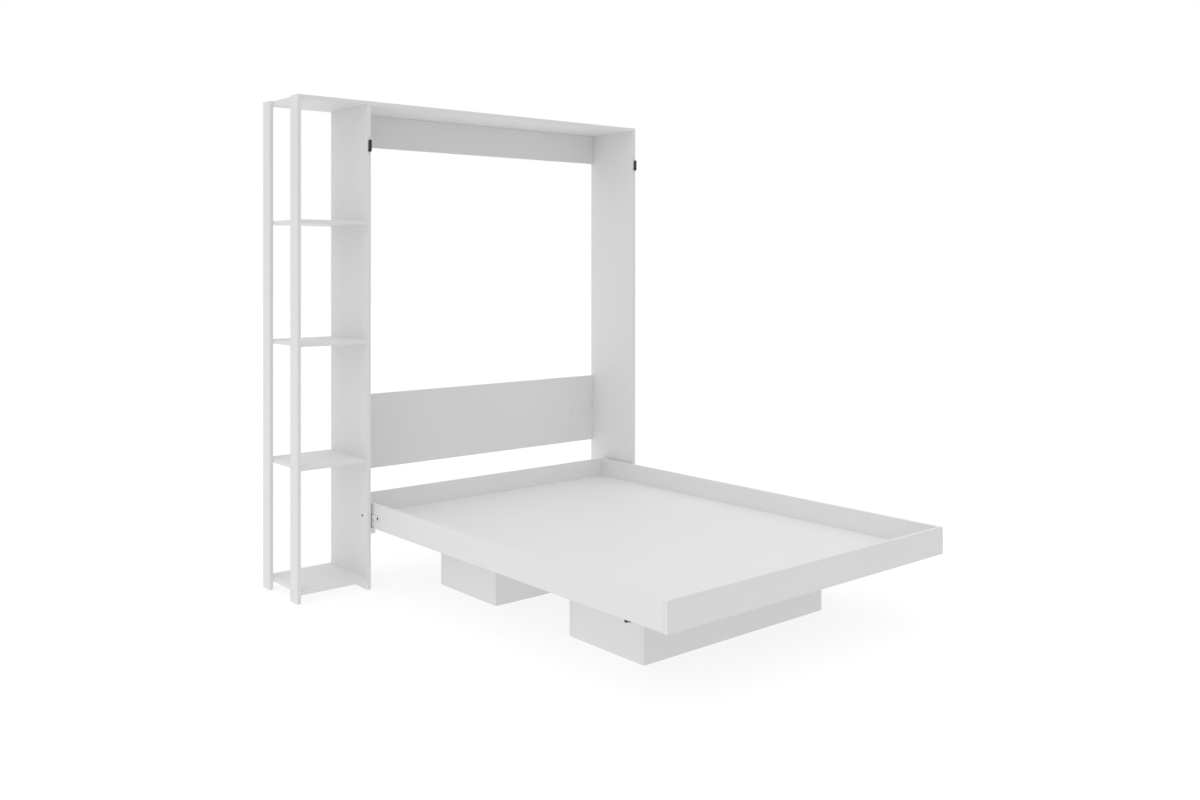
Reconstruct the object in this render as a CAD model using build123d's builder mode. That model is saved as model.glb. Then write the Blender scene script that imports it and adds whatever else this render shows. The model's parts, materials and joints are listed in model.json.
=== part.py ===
"""Murphy wall bed: a shelf cabinet with a bed tray that folds up into it.

Frame: millimetres, +Z up, +X to the right along the wall, +Y towards the wall.
The origin is on the floor, in the middle of the footprint with the bed down.
"""
from build123d import *
import os

os.makedirs("parts", exist_ok=True)

# ---- driving dimensions ---------------------------------------------------
board = 15.0                # thickness of every laminated board
edge_radius = 0.8           # rounding of the edge banding
cabinet_height = 1995.0
cabinet_depth = 320.0
post_width = 65.0           # width of the two left posts, front to back
shelf_bay = 290.0           # clear width of the open shelf unit
bed_bay = 1440.0            # clear width between the bed's two panels
glide = 3.0                 # thickness of the plastic floor glides
first_shelf = 36.0          # underside of the bottom shelf above the floor
shelf_pitch = 485.0
shelf_count = 4
top_rail_height = 140.0
middle_rail_height = 325.0
middle_rail_bottom = 435.0
bed_length = 1955.0
bed_gap = 10.0              # clearance between the bed and each panel
bed_reach = 1736.0          # from the cabinet's front edges to the foot rail's face
rail_height = 100.0
leg_height = 251.0          # underside of the bed rails above the floor
leg_box_width = 925.0
leg_box_length = 392.0
foot_setback = 371.0        # foot rail's face to the foot leg box
head_setback = 343.0        # head rail's back to the head leg box
pivot_offset = 8.5          # pivot ahead of the cabinet front and below the bed rails
plate = 4.0                 # steel plates of the hinges
lug_radius = 11.0
pin_radius = 4.0
bolt_radius = 3.0           # M6 hinge bolts
clearance = 0.05            # radial, on every pin, screw and dowel

# ---- derived places --------------------------------------------------------
y_front = (bed_reach - cabinet_depth) / 2
y_back = y_front + cabinet_depth
y_foot = y_front - bed_reach
y_head = y_foot + bed_length
cabinet_width = 3 * board + shelf_bay + bed_bay
x_left = -cabinet_width / 2
x_right = cabinet_width / 2
x_post = x_left + board
x_middle = x_post + shelf_bay
x_bay = x_middle + board
x_bay_end = x_right - board
bay_centre = (x_bay + x_bay_end) / 2
bed_left = x_bay + bed_gap
bed_right = x_bay_end - bed_gap
tray_left = bed_left + board
tray_right = bed_right - board
tray_foot = y_foot + board
tray_head = y_head - board
rail_top = leg_height + rail_height
z_top = cabinet_height - board
shelf_levels = [first_shelf + shelf_pitch * i for i in range(shelf_count)]
pivot_y = y_front - pivot_offset
pivot_z = leg_height - pivot_offset
left_side = (x_bay, 1)
right_side = (x_bay_end, -1)
INWARD = (Align.CENTER, Align.CENTER, Align.MAX)
OUTWARD = (Align.CENTER, Align.CENTER, Align.MIN)

# ---- fittings: radii and lengths ------------------------------------------
screw_radius, screw_head, screw_sink, screw_length = 3.4, 5.0, 4.0, 50.0
wall_hole_radius, wall_hole_spread = 2.75, 575.0            # for 5 mm wall screws, either side of the bay's middle
dowel_radius, dowel_length, dowel_bite = 4.0, 30.0, 10.0     # bite: depth in the board drilled in its face
dowel_shift = dowel_length / 2 - dowel_bite
cap_radius, cap_height, cam_cover_radius = 6.5, 0.8, 9.0
cam_radius, cam_depth, cam_inset = 7.5, 12.0, 34.0
cam_bolt_radius, cam_thread_radius, cam_thread_length = 3.0, 2.5, 11.0
wood_screw_radius, wood_screw_head, wood_screw_sink = 2.0, 4.0, 2.2
bolt_head, bolt_sink, bolt_socket, bolt_socket_depth = 5.6, 2.8, 2.0, 2.0
sleeve_radius, sleeve_length, sleeve_flange, flange_height = 4.0, 11.0, 5.2, 1.2
insert_radius, insert_length = 5.0, 12.0
bush_radius = 5.2
washer_gap = bed_gap - 2 * plate
pin_length = bed_gap + 0.3


# ---- building blocks, each acting on the part that is open ------------------
def at(points, outward):
    """Places at the points whose own Z looks outward."""
    return [Plane(origin=point, z_dir=outward) for point in points]


def plank(x, y, z):
    """An edge-banded board that fills three ranges."""
    with Locations(((x[0] + x[1]) / 2, (y[0] + y[1]) / 2, (z[0] + z[1]) / 2)):
        Box(x[1] - x[0], y[1] - y[0], z[1] - z[0])
    fillet(edges(), edge_radius)


def drill(points, outward, radius, depth):
    """Round holes with their mouths at the points, cut inward only."""
    with Locations(*at(points, outward)):
        Cylinder(radius, depth, align=INWARD, mode=Mode.SUBTRACT)


def rods(points, outward, radius, length):
    """Round rods that start at the points and run inward."""
    with Locations(*at(points, outward)):
        Cylinder(radius, length, align=INWARD)


def countersink(points, outward, shank, head, depth, mode=Mode.SUBTRACT):
    """Cones for flush heads, or the heads themselves."""
    with Locations(*at(points, outward)):
        Cone(shank, head, depth, align=INWARD, mode=mode)


def screw_holes(points, outward):
    """Clearance for panel screws, through one board and into the next."""
    drill(points, outward, screw_radius + clearance, screw_length + 0.5)
    countersink(points, outward, screw_radius + clearance, screw_head + clearance, screw_sink + 0.1)


def panel_screws(points, outward):
    """Panel screws with flush countersunk heads and a hex socket."""
    rods(points, outward, screw_radius, screw_length)
    countersink(points, outward, screw_radius, screw_head, screw_sink, Mode.ADD)
    with BuildSketch(*at(points, outward)) as sockets:
        RegularPolygon(2.3, 6)
    extrude(sockets.sketch, amount=-2.5, mode=Mode.SUBTRACT)


def dowel_holes(points, axis):
    """Blind holes for dowels, given as the dowels' centres."""
    with Locations(*at(points, axis)):
        Cylinder(dowel_radius + clearance, dowel_length + 1, mode=Mode.SUBTRACT)


def caps(points, outward, radius=cap_radius):
    """Thin round covers over screw heads or cam drums."""
    with Locations(*at(points, outward)):
        Cone(radius, radius - 0.6, cap_height, align=OUTWARD)


# ---- cabinet joints: one list of places for each kind ------------------------
top_middle = z_top + board / 2
front_post_y = y_front + post_width / 2
rear_post_y = y_back - post_width / 2
board_levels = [level + board / 2 for level in shelf_levels] + [top_middle]
panel_rows = (y_front + 60, y_back - 60)
back_rail_y = y_back - board / 2
rail_screw_levels = (475.0, 597.5, 720.0, 1875.0, 1945.0)
rail_dowel_levels = (536.0, 659.0, 1910.0)

post_screw_places = [(x_left, y, z) for z in board_levels for y in (front_post_y + 14, rear_post_y - 14)]
post_dowel_places = [(x_post + dowel_shift, y, z) for z in board_levels for y in (front_post_y - 14, rear_post_y + 14)]
shelf_screw_places = [(x_bay, y, z) for z in board_levels[:-1] for y in panel_rows]
shelf_dowel_places = [
    (x_middle - dowel_shift, y, z) for z in board_levels[:-1] for y in (y_front + 120, y_back - 120)
]
top_screw_places = [(x_middle + board / 2, y, cabinet_height) for y in panel_rows]
top_dowel_places = [(x_middle + board / 2, (y_front + y_back) / 2, z_top - dowel_shift)]
corner_screw_places = [(x_right, y, top_middle) for y in panel_rows]
corner_dowel_places = [(x_bay_end - dowel_shift, (y_front + y_back) / 2, top_middle)]
rail_left_screws = [(x_middle, back_rail_y, z) for z in rail_screw_levels]
rail_right_screws = [(x_right, back_rail_y, z) for z in rail_screw_levels]
rail_dowel_places = [
    (x, back_rail_y, z) for x in (x_bay + dowel_shift, x_bay_end - dowel_shift) for z in rail_dowel_levels
]
wall_hole_places = [
    (bay_centre + side * wall_hole_spread, y_back, z)
    for side in (-1, 1)
    for z in (z_top - top_rail_height / 2, middle_rail_bottom + middle_rail_height / 2)
]
post_glide_places = [(x_left + board / 2, y, glide) for y in (front_post_y, rear_post_y)]
panel_glide_places = [
    (x + board / 2, y, glide) for x in (x_middle, x_bay_end) for y in (y_front + 40, y_back - 40)
]
glide_nail_radius, glide_nail_length = 1.25, 12.0

LEFT, RIGHT, UP, DOWN = (-1, 0, 0), (1, 0, 0), (0, 0, 1), (0, 0, -1)
FRONT, BACK = (0, -1, 0), (0, 1, 0)

# ---- hinge plate places, on the side's own panel -----------------------------
plate_bolt = (y_front + 44, 300.0)
plate_screws = [(y_front + dy, z) for dy, z in ((22, 313), (74, 313), (74, 262), (30, 227), (74, 227))]
arm_bolts_yz = [(y_front - 42, 297.0), (y_front + 34, 322.0), (y_front + 100, 282.0)]


def on_plane(x, places):
    """Places given as (y, z), put on the plane at x."""
    return [(x, y, z) for y, z in places]


# ---- cabinet boards ---------------------------------------------------------
def post(y_low):
    """One of the two narrow posts that carry the shelves' left ends."""
    with BuildPart() as piece:
        plank((x_left, x_post), (y_low, y_low + post_width), (glide, cabinet_height))
        screw_holes([p for p in post_screw_places if y_low < p[1] < y_low + post_width], LEFT)
        dowel_holes([p for p in post_dowel_places if y_low < p[1] < y_low + post_width], LEFT)
        drill([p for p in post_glide_places if y_low < p[1] < y_low + post_width], DOWN,
              glide_nail_radius + clearance, glide_nail_length + 1)
    return piece


def shelf(level):
    """A shelf between the posts and the middle panel."""
    middle = level + board / 2
    with BuildPart() as piece:
        plank((x_post, x_middle), (y_front, y_back), (level, level + board))
        screw_holes([p for p in post_screw_places if p[2] == middle], LEFT)
        screw_holes([p for p in shelf_screw_places if p[2] == middle], RIGHT)
        dowel_holes([p for p in post_dowel_places + shelf_dowel_places if p[2] == middle], LEFT)
    return piece


def back_rail(z_low, z_high):
    """A rail across the back of the bed's bay, with its two wall fixing holes."""
    with BuildPart() as piece:
        plank((x_bay, x_bay_end), (y_back - board, y_back), (z_low, z_high))
        screw_holes([p for p in rail_left_screws if z_low < p[2] < z_high], LEFT)
        screw_holes([p for p in rail_right_screws if z_low < p[2] < z_high], RIGHT)
        dowel_holes([p for p in rail_dowel_places if z_low < p[2] < z_high], LEFT)
        drill([p for p in wall_hole_places if z_low < p[2] < z_high], BACK, wall_hole_radius, board)
    return piece


def hinge_plate_holes(side):
    """Holes in a cabinet panel for its hinge plate, bolt and sleeve nut."""
    face, inward = side
    normal = (inward, 0, 0)
    away = (-inward, 0, 0)
    drill(on_plane(face, [plate_bolt]), normal, bolt_radius + 0.1, board)
    drill(on_plane(face - inward * board, [plate_bolt]), away, sleeve_radius + clearance, sleeve_length + 0.5)
    drill(on_plane(face, plate_screws), normal, wood_screw_radius + clearance, 11)


button_x = {"left": x_middle + board / 2, "right": x_bay_end + board / 2}
button_z, button_screw_radius, button_screw_depth = 1794.5, 2.0, 25.0
button_width, button_length, button_arm, button_foot, button_washer = 13.0, 50.0, 5.5, 4.2, 0.8
button_reach = button_length - button_width
keeper_seat, keeper_stop = 4.0, 9.0
keeper_length, keeper_stop_length, keeper_screw_spread = 30.0, 12.0, 8.5
keeper_seat_middle = pivot_y + pivot_z - button_z       # where the shut bed meets the turned button
stop_edge = keeper_seat_middle + button_width / 2 + 0.7
keeper_middle = stop_edge + keeper_stop_length - keeper_length / 2
keeper_rows = [keeper_middle + side * keeper_screw_spread for side in (-1, 1)]

left_front_post = post(y_front)
left_rear_post = post(y_back - post_width)

with BuildPart() as middle_panel:
    plank((x_middle, x_bay), (y_front, y_back), (glide, z_top))
    screw_holes(shelf_screw_places, RIGHT)
    screw_holes(rail_left_screws, LEFT)
    screw_holes(top_screw_places, UP)
    dowel_holes(shelf_dowel_places + [p for p in rail_dowel_places if p[0] < bay_centre], LEFT)
    dowel_holes(top_dowel_places, UP)
    drill([p for p in panel_glide_places if p[0] < 0], DOWN, glide_nail_radius + clearance, glide_nail_length + 1)
    hinge_plate_holes(left_side)
    drill([(button_x["left"], y_front, button_z)], FRONT, button_screw_radius + clearance, button_screw_depth)

with BuildPart() as right_panel:
    plank((x_bay_end, x_right), (y_front, y_back), (glide, cabinet_height))
    screw_holes(rail_right_screws + corner_screw_places, RIGHT)
    dowel_holes([p for p in rail_dowel_places if p[0] > bay_centre] + corner_dowel_places, LEFT)
    drill([p for p in panel_glide_places if p[0] > 0], DOWN, glide_nail_radius + clearance, glide_nail_length + 1)
    hinge_plate_holes(right_side)
    drill([(button_x["right"], y_front, button_z)], FRONT, button_screw_radius + clearance, button_screw_depth)

with BuildPart() as top_panel:
    plank((x_post, x_bay_end), (y_front, y_back), (z_top, cabinet_height))
    screw_holes([p for p in post_screw_places if p[2] == top_middle], LEFT)
    screw_holes(corner_screw_places, RIGHT)
    screw_holes(top_screw_places, UP)
    dowel_holes([p for p in post_dowel_places if p[2] == top_middle] + corner_dowel_places, LEFT)
    dowel_holes(top_dowel_places, UP)

bottom_shelf, lower_shelf, middle_shelf, upper_shelf = [shelf(level) for level in shelf_levels]
top_back_rail = back_rail(z_top - top_rail_height, z_top)
middle_back_rail = back_rail(middle_rail_bottom, middle_rail_bottom + middle_rail_height)


# ---- cabinet fasteners -------------------------------------------------------
with BuildPart() as shelf_screws:
    panel_screws(post_screw_places, LEFT)
    panel_screws(shelf_screw_places, RIGHT)

with BuildPart() as top_screws:
    panel_screws(top_screw_places, UP)
    panel_screws(corner_screw_places, RIGHT)

with BuildPart() as back_rail_screws:
    panel_screws(rail_left_screws, LEFT)
    panel_screws(rail_right_screws, RIGHT)

with BuildPart() as screw_caps:
    caps(post_screw_places + rail_left_screws, LEFT)
    caps(shelf_screw_places + rail_right_screws + corner_screw_places, RIGHT)
    caps(top_screw_places, UP)

with BuildPart() as cabinet_dowels:
    with Locations(*at(post_dowel_places + shelf_dowel_places + corner_dowel_places + rail_dowel_places, LEFT)):
        Cylinder(dowel_radius, dowel_length)
    with Locations(*at(top_dowel_places, UP)):
        Cylinder(dowel_radius, dowel_length)

with BuildPart() as cabinet_glides:
    with Locations(*at(post_glide_places + panel_glide_places, DOWN)):
        Cone(6.5, 5.5, glide, align=OUTWARD)
    rods(post_glide_places + panel_glide_places, DOWN, glide_nail_radius, glide_nail_length)


# ---- hinges --------------------------------------------------------------------
def cabinet_plate(side):
    """Steel plate on the panel's inner face, with the lug that carries the pivot pin."""
    face, inward = side
    normal = (inward, 0, 0)
    with BuildPart() as piece:
        with BuildSketch(Plane.YZ.offset(face)):
            with Locations((y_front + 47, 270)):
                RectangleRounded(70, 110, 8)
            with Locations((pivot_y, pivot_z)):
                Circle(lug_radius)
            with Locations(((pivot_y + y_front + 47) / 2, pivot_z)):
                Rectangle(y_front + 47 - pivot_y, 2 * lug_radius)
        extrude(amount=inward * plate)
        front = face + inward * plate
        drill(on_plane(front, [plate_bolt]), normal, bolt_radius + clearance, plate)
        countersink(on_plane(front, [plate_bolt]), normal, bolt_radius + clearance, bolt_head + clearance, bolt_sink)
        drill(on_plane(front, plate_screws), normal, wood_screw_radius + clearance, plate)
        countersink(on_plane(front, plate_screws), normal, wood_screw_radius + clearance,
                    wood_screw_head + clearance, wood_screw_sink)
        drill(on_plane(front, [(pivot_y, pivot_z)]), normal, pin_radius + 0.02, plate)
    return piece


def bed_arm(side):
    """Steel arm on the bed rail's outer face, with the lug that turns on the pivot pin."""
    face, inward = side
    outer = face + inward * (bed_gap - plate)
    away = (-inward, 0, 0)
    with BuildPart() as piece:
        with BuildSketch(Plane.YZ.offset(outer)):
            with Locations((y_front + 66, 301)):
                RectangleRounded(108, 78, 8)
            with Locations((y_front + 12, 297)):
                SlotCenterToCenter(108, 20)
        extrude(amount=inward * plate)
        with BuildSketch(Plane.YZ.offset(outer)):
            with Locations((pivot_y, pivot_z)):
                Circle(lug_radius)
            with Locations((y_front + 40, 286)):
                Circle(20)
            make_hull()
        extrude(amount=inward * plate)
        drill(on_plane(outer, arm_bolts_yz), away, bolt_radius + clearance, plate)
        countersink(on_plane(outer, arm_bolts_yz), away, bolt_radius + clearance, bolt_head + clearance, bolt_sink)
        drill(on_plane(outer, [(pivot_y, pivot_z)]), away, bush_radius + 0.02, plate)
    return piece


left_cabinet_plate = cabinet_plate(left_side)
right_cabinet_plate = cabinet_plate(right_side)
left_bed_arm = bed_arm(left_side)
right_bed_arm = bed_arm(right_side)

with BuildPart() as pivot_pins:
    for face, inward in (left_side, right_side):
        pivot = on_plane(face, [(pivot_y, pivot_z)])
        rods(pivot, (-inward, 0, 0), pin_radius, pin_length)
        rods(on_plane(face + inward * pin_length, [(pivot_y, pivot_z)]), (-inward, 0, 0), 7.0, 2.5)

with BuildPart() as pivot_washers:
    for face, inward in (left_side, right_side):
        start = on_plane(face + inward * (plate + clearance), [(pivot_y, pivot_z)])
        rods(start, (-inward, 0, 0), 9.0, washer_gap - 2 * clearance)
        drill(start, (-inward, 0, 0), pin_radius + 0.1, washer_gap)

with BuildPart() as pivot_bushes:
    for face, inward in (left_side, right_side):
        start = on_plane(face + inward * (bed_gap - plate), [(pivot_y, pivot_z)])
        rods(start, (-inward, 0, 0), bush_radius, plate)
        drill(start, (-inward, 0, 0), pin_radius + clearance, plate)

with BuildPart() as cabinet_plate_bolts:
    for face, inward in (left_side, right_side):
        head = on_plane(face + inward * plate, [plate_bolt])
        rods(head, (inward, 0, 0), bolt_radius, plate + board - 1)
        countersink(head, (inward, 0, 0), bolt_radius, bolt_head, bolt_sink, Mode.ADD)
        drill(head, (inward, 0, 0), bolt_socket, bolt_socket_depth)

with BuildPart() as cabinet_plate_nuts:
    for face, inward in (left_side, right_side):
        outside = on_plane(face - inward * board, [plate_bolt])
        rods(outside, (-inward, 0, 0), sleeve_radius, sleeve_length)
        with Locations(*at(outside, (-inward, 0, 0))):
            Cone(sleeve_flange, sleeve_flange - 1.0, flange_height, align=OUTWARD)
        drill(on_plane(face, [plate_bolt]), (inward, 0, 0), bolt_radius + clearance, board - 0.5)

with BuildPart() as cabinet_plate_screws:
    for face, inward in (left_side, right_side):
        heads = on_plane(face + inward * plate, plate_screws)
        rods(heads, (inward, 0, 0), wood_screw_radius, 14)
        countersink(heads, (inward, 0, 0), wood_screw_radius, wood_screw_head, wood_screw_sink, Mode.ADD)

with BuildPart() as arm_bolts:
    for face, inward in (left_side, right_side):
        heads = on_plane(face + inward * (bed_gap - plate), arm_bolts_yz)
        rods(heads, (-inward, 0, 0), bolt_radius, plate + insert_length - 1)
        countersink(heads, (-inward, 0, 0), bolt_radius, bolt_head, bolt_sink, Mode.ADD)
        drill(heads, (-inward, 0, 0), bolt_socket, bolt_socket_depth)

with BuildPart() as arm_inserts:
    for face, inward in (left_side, right_side):
        outside = on_plane(face + inward * bed_gap, arm_bolts_yz)
        rods(outside, (-inward, 0, 0), insert_radius, insert_length)
        drill(outside, (-inward, 0, 0), bolt_radius + clearance, insert_length - 0.5)


# ---- bed tray -------------------------------------------------------------------
base_middle = leg_height + board / 2
base_cam_rows = [tray_foot + (tray_head - tray_foot) * k / 5 for k in (0.5, 1.5, 2.5, 3.5, 4.5)]
base_cam_columns = [tray_left + (tray_right - tray_left) * k / 4 for k in (0.5, 1.5, 2.5, 3.5)]
corner_level = 316.0
corner_dowel_levels = (288.0, 336.0)

base_cams = (
    [(tray_left, y, base_middle, LEFT) for y in base_cam_rows]
    + [(tray_right, y, base_middle, RIGHT) for y in base_cam_rows]
    + [(x, tray_foot, base_middle, FRONT) for x in base_cam_columns]
    + [(x, tray_head, base_middle, BACK) for x in base_cam_columns]
)
corner_cams = [
    (x, y, corner_level, direction)
    for x in (bed_left + board / 2, bed_right - board / 2)
    for y, direction in ((tray_foot, FRONT), (tray_head, BACK))
]
corner_dowels = [
    (x, y, z)
    for x in (bed_left + board / 2, bed_right - board / 2)
    for y in (tray_foot + dowel_shift, tray_head - dowel_shift)
    for z in corner_dowel_levels
]


def cam_bolt_holes(cams):
    """Holes for cam bolts, given as places on a joint and the way into the mating board."""
    for x, y, z, ahead in cams:
        tip = tuple(c + cam_thread_length * a for c, a in zip((x, y, z), ahead))
        drill([tip], ahead, cam_bolt_radius + clearance, cam_thread_length + cam_inset)


def cam_bolts(cams):
    """Cam bolts: a thread in the mating board and a shank up to the cam drum."""
    for x, y, z, ahead in cams:
        tip = tuple(c + (cam_thread_length - 0.5) * a for c, a in zip((x, y, z), ahead))
        rods([tip], ahead, cam_thread_radius, cam_thread_length)
        shank = cam_inset - cam_radius - 0.2
        rods([(x, y, z)], ahead, cam_bolt_radius, shank)


def drum_places(cams, face_shift):
    """Mouths of the cam drums, back from the joint and out at the board's face."""
    return [
        tuple(c - cam_inset * a + s for c, a, s in zip((x, y, z), ahead, face_shift)) for x, y, z, ahead in cams
    ]


def cam_drums(places, outward):
    """Round cam drums with a cross recess, just under the board's face."""
    sunk = [tuple(c - 0.2 * n for c, n in zip(place, outward)) for place in places]
    rods(sunk, outward, cam_radius - 0.1, cam_depth)
    with BuildSketch(*at(sunk, outward)) as recess:
        Rectangle(8, 1.6)
        Rectangle(1.6, 8)
    extrude(recess.sketch, amount=-3, mode=Mode.SUBTRACT)


base_drums = drum_places(base_cams, (0, 0, -board / 2))
left_corner_cams = [cam for cam in corner_cams if cam[0] < bay_centre]
right_corner_cams = [cam for cam in corner_cams if cam[0] > bay_centre]
left_drums = drum_places(left_corner_cams, (board / 2, 0, 0))
right_drums = drum_places(right_corner_cams, (-board / 2, 0, 0))

with BuildPart() as tray_base:
    plank((tray_left, tray_right), (tray_foot, tray_head), (leg_height, leg_height + board))
    cam_bolt_holes(base_cams)
    drill(base_drums, DOWN, cam_radius, cam_depth + 0.5)


def side_rail(side, drums, drum_normal, cams):
    """A long rail of the tray, with blind holes for its hinge arm's threaded inserts."""
    face, inward = side
    outer = face + inward * bed_gap
    inner = outer + inward * board
    with BuildPart() as piece:
        plank((min(outer, inner), max(outer, inner)), (tray_foot, tray_head), (leg_height, rail_top))
        cam_bolt_holes(cams)
        cam_bolt_holes([cam for cam in base_cams if cam[3] == (-inward, 0, 0)])
        drill(drums, drum_normal, cam_radius, cam_depth + 0.5)
        dowel_holes([p for p in corner_dowels if (p[0] < bay_centre) == (inward > 0)], FRONT)
        drill(on_plane(outer, arm_bolts_yz), (-inward, 0, 0), insert_radius + clearance, insert_length + 0.5)
        drill([(outer + inward * board / 2, y, leg_height) for y in keeper_rows], DOWN, 1.55, 13)
    return piece


def end_rail(y_low, direction):
    """The tray's foot or head rail, across both side rails."""
    with BuildPart() as piece:
        plank((bed_left, bed_right), (y_low, y_low + board), (leg_height, rail_top))
        cam_bolt_holes([cam for cam in base_cams + corner_cams if cam[3] == direction])
        dowel_holes([p for p in corner_dowels if (p[1] < 0) == (y_low < 0)], FRONT)
    return piece


left_side_rail = side_rail(left_side, left_drums, RIGHT, left_corner_cams)
right_side_rail = side_rail(right_side, right_drums, LEFT, right_corner_cams)
foot_rail = end_rail(y_foot, FRONT)
head_rail = end_rail(tray_head, BACK)

with BuildPart() as tray_cams:
    cam_drums(base_drums, DOWN)
    cam_drums(left_drums, RIGHT)
    cam_drums(right_drums, LEFT)

with BuildPart() as cam_covers:
    caps(base_drums, DOWN, cam_cover_radius)
    caps(left_drums, RIGHT, cam_cover_radius)
    caps(right_drums, LEFT, cam_cover_radius)

with BuildPart() as tray_cam_bolts:
    cam_bolts(base_cams + corner_cams)

with BuildPart() as tray_dowels:
    with Locations(*at(corner_dowels, FRONT)):
        Cylinder(dowel_radius, dowel_length)


# ---- leg boxes --------------------------------------------------------------------
box_left = bay_centre - leg_box_width / 2
box_right = bay_centre + leg_box_width / 2
foot_box = (y_foot + foot_setback, y_foot + foot_setback + leg_box_length)
head_box = (y_head - head_setback - leg_box_length, y_head - head_setback)
leg_cam_levels = (80.0, 200.0)
bracket_columns = (box_left + 150, box_right - 150)
bracket_leg, bracket_width, bracket_plate = 30.0, 40.0, 2.5


def leg_cams(box):
    """Cam joints between a leg box's side boards and its front and back boards."""
    ends = ((box[0] + board, FRONT), (box[1] - board, BACK))
    columns = (box_left + board / 2, box_right - board / 2)
    return [(x, y, z, ahead) for x in columns for y, ahead in ends for z in leg_cam_levels]


def leg_dowels(box):
    """Centres of the dowels between the leg box's boards, each with its direction."""
    middle = glide + board / 2
    reach = board + dowel_shift
    rows = (box[0] + reach, box[1] - reach)
    corners = [(x, y, 140.0, FRONT) for x in (box_left + board / 2, box_right - board / 2) for y in rows]
    floor = [(x, y, middle, FRONT) for x in bracket_columns for y in rows]
    ends = [
        (x, y, middle, LEFT) for x in (box_left + reach, box_right - reach) for y in (box[0] + 110, box[1] - 110)
    ]
    return corners + floor + ends


def drill_leg_dowels(box):
    """Holes for all of a leg box's dowels that cross the open board."""
    for x, y, z, axis in leg_dowels(box):
        dowel_holes([(x, y, z)], axis)


def cross_board(box, y_low):
    """Front or back board of a leg box."""
    with BuildPart() as piece:
        plank((box_left, box_right), (y_low, y_low + board), (glide, leg_height))
        cam_bolt_holes([cam for cam in leg_cams(box) if y_low <= cam[1] <= y_low + board])
        drill_leg_dowels(box)
    return piece


def side_board(box, x_low):
    """Side board of a leg box, with its cam drums on the inner face."""
    outward = LEFT if x_low < bay_centre else RIGHT
    inner_face = x_low + board if outward == LEFT else x_low
    with BuildPart() as piece:
        plank((x_low, x_low + board), (box[0] + board, box[1] - board), (glide, leg_height))
        mine = [cam for cam in leg_cams(box) if x_low < cam[0] < x_low + board]
        cam_bolt_holes(mine)
        drums = [(inner_face, y, z) for _, y, z in drum_places(mine, (0, 0, 0))]
        drill(drums, RIGHT if outward == LEFT else LEFT, cam_radius, cam_depth + 0.5)
        drill_leg_dowels(box)
    return piece


def leg_floor(box):
    """Bottom board of a leg box, set between the other four."""
    with BuildPart() as piece:
        plank((box_left + board, box_right - board), (box[0] + board, box[1] - board), (glide, glide + board))
        drill_leg_dowels(box)
        drill(leg_glide_places(box), DOWN, glide_nail_radius + clearance, glide_nail_length + 1)
    return piece


def leg_glide_places(box):
    """Where the glides are nailed under a leg box."""
    return [(x, y, glide) for x in (box_left + 60, box_right - 60) for y in (box[0] + 60, box[1] - 60)]


def bracket_places(box):
    """Corners of the angle brackets: x, y of the board's inner face, and the way they face."""
    return [(x, y, way) for x in bracket_columns for y, way in ((box[0] + board, 1), (box[1] - board, -1))]


foot_leg_front = cross_board(foot_box, foot_box[0])
foot_leg_back = cross_board(foot_box, foot_box[1] - board)
foot_leg_left = side_board(foot_box, box_left)
foot_leg_right = side_board(foot_box, box_right - board)
foot_leg_bottom = leg_floor(foot_box)
head_leg_front = cross_board(head_box, head_box[0])
head_leg_back = cross_board(head_box, head_box[1] - board)
head_leg_left = side_board(head_box, box_left)
head_leg_right = side_board(head_box, box_right - board)
head_leg_bottom = leg_floor(head_box)

with BuildPart() as leg_box_cams:
    for box in (foot_box, head_box):
        for x, y, z in drum_places(leg_cams(box), (0, 0, 0)):
            left = x < bay_centre
            cam_drums([(x + (board / 2 if left else -board / 2), y, z)], RIGHT if left else LEFT)

with BuildPart() as leg_box_cam_bolts:
    for box in (foot_box, head_box):
        cam_bolts(leg_cams(box))

with BuildPart() as leg_box_dowels:
    for box in (foot_box, head_box):
        for x, y, z, axis in leg_dowels(box):
            with Locations(*at([(x, y, z)], axis)):
                Cylinder(dowel_radius, dowel_length)

with BuildPart() as leg_brackets:
    for box in (foot_box, head_box):
        for x, y, way in bracket_places(box):
            with BuildSketch(Plane.YZ.offset(x - bracket_width / 2)):
                with BuildLine():
                    Polyline(
                        (y, leg_height),
                        (y + way * bracket_leg, leg_height),
                        (y + way * bracket_leg, leg_height - bracket_plate),
                        (y + way * bracket_plate, leg_height - bracket_plate),
                        (y + way * bracket_plate, leg_height - bracket_leg),
                        (y, leg_height - bracket_leg),
                        close=True,
                    )
                make_face()
            extrude(amount=bracket_width)
            for dx in (-12, 12):
                drill([(x + dx, y + way * 20, leg_height - bracket_plate)], DOWN, 2.1, bracket_plate)
                drill([(x + dx, y + way * bracket_plate, leg_height - 20)], (0, way, 0), 2.1, bracket_plate)

with BuildPart() as leg_glides:
    for box in (foot_box, head_box):
        with Locations(*at(leg_glide_places(box), DOWN)):
            Cone(12, 10.5, glide, align=OUTWARD)
        rods(leg_glide_places(box), DOWN, glide_nail_radius, glide_nail_length)


# ---- turn buttons and their keepers ----------------------------------------------
button_back = y_front - button_washer - button_foot


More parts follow.
